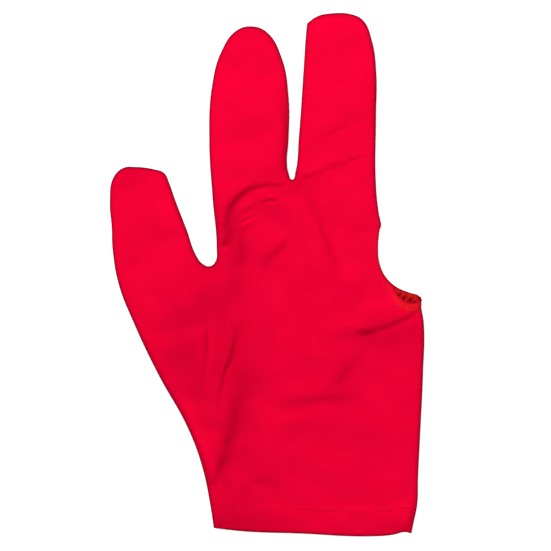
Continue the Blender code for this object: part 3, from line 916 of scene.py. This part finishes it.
def overlock(strands, layer):
    """Zigzag of loose thread over the raw edge of the opening, on the layer's inner face."""
    track, side, height = layer["tracks"]["opening"], layer["side"], layer["height"]
    stitches = int((track.length - OVERLOCK_ENDS) / OVERLOCK_PITCH)
    pitch = (track.length - OVERLOCK_ENDS) / stitches
    path = []
    for k in range(2 * stitches + 1):
        s = OVERLOCK_START + k * pitch / 2
        near, far = (OVERLOCK_DEPTH, 0.0) if k % 2 == 0 else (0.0, OVERLOCK_DEPTH)
        for share in (0.0, 0.25, 0.5, 0.75):
            inset = near + (far - near) * share
            p, direction = track.at(s + share * pitch / 2)
            inward = to_right(direction)
            h = height(p + 0.25 * inward)
            lift = KNIT + 0.14 if inset > 0.2 else KNIT / 2
            path.append((*(p + max(inset, -0.05) * inward), h - side * lift))
    path = np.array(path)
    # painted shade on the thread where it wraps the opening's edge
    painted_edge_shade = 0.45 + 0.55 * smooth(track.near(path[:, :2])[0] / 0.8)
    strands.add(path, OVERLOCK_THREAD, shade=painted_edge_shade)


def edge_rows(strands, layer):
    """Rows of thread along the opening, on the layer's outer face; the palm's show only at its low end."""
    track, side, height = layer["tracks"]["opening"], layer["side"], layer["height"]
    begin = EDGE_ROWS_BEGIN * track.length if side > 0 else 1.0
    for row, inset in enumerate(EDGE_ROWS):
        path = []
        for s in np.arange(begin + 0.8 * row, track.length - 1.2 - 0.3 * inset, 0.35):
            p, direction = track.at(s)
            turn = 2 * math.pi * s / OVERLOCK_PITCH
            p = p + (inset + 0.22 * math.sin(turn)) * to_right(direction)
            path.append((*p, height(p) - side * (0.05 * math.cos(turn) - 0.01)))
        strands.add(path, EDGE_ROW_THREAD)


def hem_stitches(strands, layer):
    track, side, height = layer["tracks"]["mouth"], layer["side"], layer["height"]
    s = 2.0
    while s + STITCH < track.length - 1.5:
        dash = []
        for t, up in ((0, -0.14), (0.2, 0.02), (0.5, 0.07), (0.8, 0.02), (1, -0.14)):
            p, direction = track.at(s + t * STITCH)
            p = p + HEM_ROW * to_right(direction)
            dash.append((*p, height(p) + side * up))
        strands.add(dash, HEM_STITCH_THREAD)
        s += STITCH + STITCH_GAP


def tack(strands, along, track):
    """A few tight turns of thread round the end of a seam."""
    centre, direction = track.at(along)
    outward = -to_right(direction)
    path = []
    for k in range(TACK_STEPS * TACK_TURNS + 1):
        angle = 2 * math.pi * k / TACK_STEPS
        p = centre + direction * (k / TACK_STEPS - TACK_TURNS / 2) * TACK_PITCH
        p = p + outward * (0.34 * math.cos(angle) - 0.25)
        path.append((*p, SEAM_Z + 0.95 * math.sin(angle)))
    strands.add(path, TACK_THREAD)


# ---------------------------------------------------------------- materials

class Shader:
    """Short ways to wire up a material."""

    def __init__(self, name):
        self.material = bpy.data.materials.new(name)
        self.material.use_nodes = True
        self.nodes = self.material.node_tree.nodes
        self.links = self.material.node_tree.links
        self.main = self.nodes["Principled BSDF"]

    def set(self, **values):
        for key, value in values.items():
            self.feed(value, self.main.inputs[key.replace("_", " ")])

    def feed(self, value, socket):
        if isinstance(value, bpy.types.NodeSocket):
            self.links.new(value, socket)
        else:
            socket.default_value = value

    def math(self, operation, a, b=0.0):
        node = self.nodes.new("ShaderNodeMath")
        node.operation = operation
        self.feed(a, node.inputs[0])
        self.feed(b, node.inputs[1])
        return node.outputs[0]

    def plan(self):
        node = self.nodes.new("ShaderNodeUVMap")
        node.uv_map = "plan"
        axes = self.nodes.new("ShaderNodeSeparateXYZ")
        self.links.new(node.outputs[0], axes.inputs[0])
        return node.outputs[0], axes.outputs[0], axes.outputs[1]

    def noise(self, vector, scale, detail):
        node = self.nodes.new("ShaderNodeTexNoise")
        self.links.new(vector, node.inputs["Vector"])
        node.inputs["Scale"].default_value = scale
        node.inputs["Detail"].default_value = detail
        return node.outputs["Fac"]

    def attribute(self, name):
        node = self.nodes.new("ShaderNodeAttribute")
        node.attribute_name = name
        return node.outputs["Fac"]

    def mix(self, share, a, b, blend="MIX"):
        node = self.nodes.new("ShaderNodeMix")
        node.data_type = "RGBA"
        node.blend_type = blend
        for value, socket in ((share, 0), (a, 6), (b, 7)):
            self.feed(value, node.inputs[socket])
        return node.outputs[2]

    def bump(self, height, strength, distance):
        node = self.nodes.new("ShaderNodeBump")
        node.inputs["Strength"].default_value = strength
        node.inputs["Distance"].default_value = distance
        self.links.new(height, node.inputs["Height"])
        self.set(Normal=node.outputs[0])


def knit_material(name):
    """Fine stretch jersey: V-shaped stitches in wales, a little fuzz, soft patches where it is worn, and
    painted shade and light.
    """
    shader = Shader(name)
    plan, across, up = shader.plan()
    wale = shader.math("MULTIPLY", across, 2 * math.pi * PLAN_UNIT / WALE)
    ribs = shader.math("SINE", wale)
    slant = shader.math("MULTIPLY", shader.math("ABSOLUTE", ribs), 1.6)
    course = shader.math("MULTIPLY", up, 2 * math.pi * PLAN_UNIT / COURSE)
    rows = shader.math("SINE", shader.math("ADD", course, slant))
    knit = shader.math("ADD", shader.math("MULTIPLY", ribs, 0.6), shader.math("MULTIPLY", rows, 0.5))
    fuzz = shader.noise(plan, 260.0, 2.0)
    patches = shader.noise(plan, 5.0, 3.0)
    tone = shader.math("MULTIPLY", patches, 0.7)
    tone = shader.math("ADD", tone, shader.math("MULTIPLY", fuzz, 0.12))
    tone = shader.math("ADD", tone, shader.math("MULTIPLY", knit, 0.06))
    tone = shader.math("ADD", tone, 0.2)
    colour = shader.mix(tone, (*FABRIC_DEEP, 1), (*FABRIC_RED, 1))
    colour = shader.mix(shader.attribute("tint"), colour, (*THREAD_ORANGE, 1))
    # painted shade and painted light, carried by the 'shade' attribute
    colour = shader.mix(1.0, colour, shader.attribute("shade"), "MULTIPLY")
    shader.set(Base_Color=colour, Roughness=0.7, Specular_IOR_Level=0.0)
    shader.set(Sheen_Weight=0.02, Sheen_Roughness=0.5, Sheen_Tint=(1.0, 0.004, 0.06, 1))
    shader.bump(shader.math("ADD", knit, shader.math("MULTIPLY", fuzz, 1.2)), 0.35, 0.0001)
    return shader.material


def thread_material(name, colour):
    """Two-ply thread: the plies wind round it, and it is a little shinier than the knit."""
    shader = Shader(name)
    plan, along, around = shader.plan()
    turn = shader.math("MULTIPLY", along, 2 * math.pi * PLAN_UNIT / PLY_PITCH)
    turn = shader.math("ADD", turn, shader.math("MULTIPLY", around, 4 * math.pi * PLAN_UNIT))
    ply = shader.math("SINE", turn)
    tone = shader.math("ADD", shader.math("MULTIPLY", ply, 0.3), shader.noise(plan, 180.0, 2.0))
    dark = tuple(c * 0.8 for c in colour)
    shade = shader.mix(tone, (*dark, 1), (*colour, 1))
    # painted shade from the 'shade' attribute, darker where the overlock wraps the opening's edge
    shade = shader.mix(1.0, shade, shader.attribute("shade"), "MULTIPLY")
    shader.set(Base_Color=shade, Roughness=0.5, Specular_IOR_Level=0.05)
    shader.bump(ply, 0.5, 0.0001)
    return shader.material


# ---------------------------------------------------------------- stage

def build_stage():
    corners = [(-1, -1), (1, -1), (1, 1), (-1, 1)]
    mesh = bpy.data.meshes.new("floor")
    mesh.from_pydata([(FLOOR_REACH * x, FLOOR_REACH * y, 0) for x, y in corners], [], [(0, 1, 2, 3)])
    floor = bpy.data.objects.new("floor", mesh)
    floor.location.z = CAD_LOW.z - FLOOR_GAP
    floor.visible_diffuse = False
    bpy.context.scene.collection.objects.link(floor)
    shader = Shader("floor")
    shader.set(Base_Color=(0.6, 0.6, 0.6, 1), Roughness=0.9, Specular_IOR_Level=0.0)
    shader.set(Emission_Color=(1, 1, 1, 1), Emission_Strength=0.8)
    mesh.materials.append(shader.material)


def area_light(name, at, size, power):
    """A rectangular lamp, aimed at the middle of the glove."""
    data = bpy.data.lights.new(name, "AREA")
    data.shape = "RECTANGLE"
    data.size, data.size_y = size
    data.energy = power
    lamp = bpy.data.objects.new(name, data)
    lamp.location = at
    lamp.rotation_euler = (-Vector(at)).to_track_quat("-Z", "Y").to_euler()
    bpy.context.scene.collection.objects.link(lamp)


def build_light():
    """A soft key from the fingers' side, and a pale sky that darkens below the horizon."""
    world = bpy.data.worlds.new("studio")
    world.use_nodes = True
    nodes, links = world.node_tree.nodes, world.node_tree.links
    place = nodes.new("ShaderNodeTexCoord")
    axes = nodes.new("ShaderNodeSeparateXYZ")
    ramp = nodes.new("ShaderNodeMapRange")
    ramp.inputs["From Min"].default_value = -0.25
    ramp.inputs["From Max"].default_value = 0.35
    ramp.inputs["To Min"].default_value = SKY_BELOW
    ramp.inputs["To Max"].default_value = SKY
    links.new(place.outputs["Generated"], axes.inputs[0])
    links.new(axes.outputs[2], ramp.inputs["Value"])
    links.new(ramp.outputs[0], nodes["Background"].inputs[1])
    nodes["Background"].inputs[0].default_value = (1, 1, 1, 1)
    bpy.context.scene.world = world
    area_light("key", KEY_AT, KEY_SIZE, KEY)
    area_light("fill", FILL_AT, FILL_SIZE, FILL)
    bpy.context.scene.view_settings.view_transform = "Standard"


def build_camera():
    """Straight down, with a long lens."""
    data = bpy.data.cameras.new("camera")
    camera = bpy.data.objects.new("camera", data)
    data.sensor_width = SENSOR
    data.lens = SENSOR * CAMERA_AT[2] / CAMERA_SEES
    camera.location = CAMERA_AT
    bpy.context.scene.collection.objects.link(camera)
    bpy.context.scene.camera = camera


# ---------------------------------------------------------------- build

palm, back = palm_layer(), back_layer()
relax(palm)
for layer in (palm, back):
    layer["outer"] = layer["faces"]
    layer["height"] = surface_of(layer)
    add_lips(layer)

PALM_KNIT = knit_material("palm_knit")
BACK_KNIT = knit_material("back_knit")
SEAM_THREAD = thread_material("seam_yarn", THREAD_RED)
EDGE_THREAD = thread_material("edge_yarn", THREAD_ORANGE)
HEM_THREAD = thread_material("hem_yarn", THREAD_HEM)
fabric_pieces("palm", palm, PALM_KNIT)
fabric_pieces("back", back, BACK_KNIT)
seam_pieces(palm, SEAM_THREAD)

edging, hemming = Strands(), Strands()
for layer in (palm, back):
    overlock(edging, layer)
    edge_rows(edging, layer)
    hem_stitches(hemming, layer)
edge_piece = edging.piece("overlock_threads", EDGE_THREAD)
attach(edge_piece, "hand")
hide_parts("opening_overlock")
hem_piece = hemming.piece("hem_threads", HEM_THREAD)
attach(hem_piece, "cuff")
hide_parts("hem_stitch")
opening = back["tracks"]["opening"]
for name, along in (("tack_upper", 0.9), ("tack_lower", opening.length - 1.0)):
    turns = Strands()
    tack(turns, along, opening)
    knot = turns.piece(name + "_thread", SEAM_THREAD)
    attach(knot, "hand")
    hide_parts(name)

build_stage()
build_light()
build_camera()
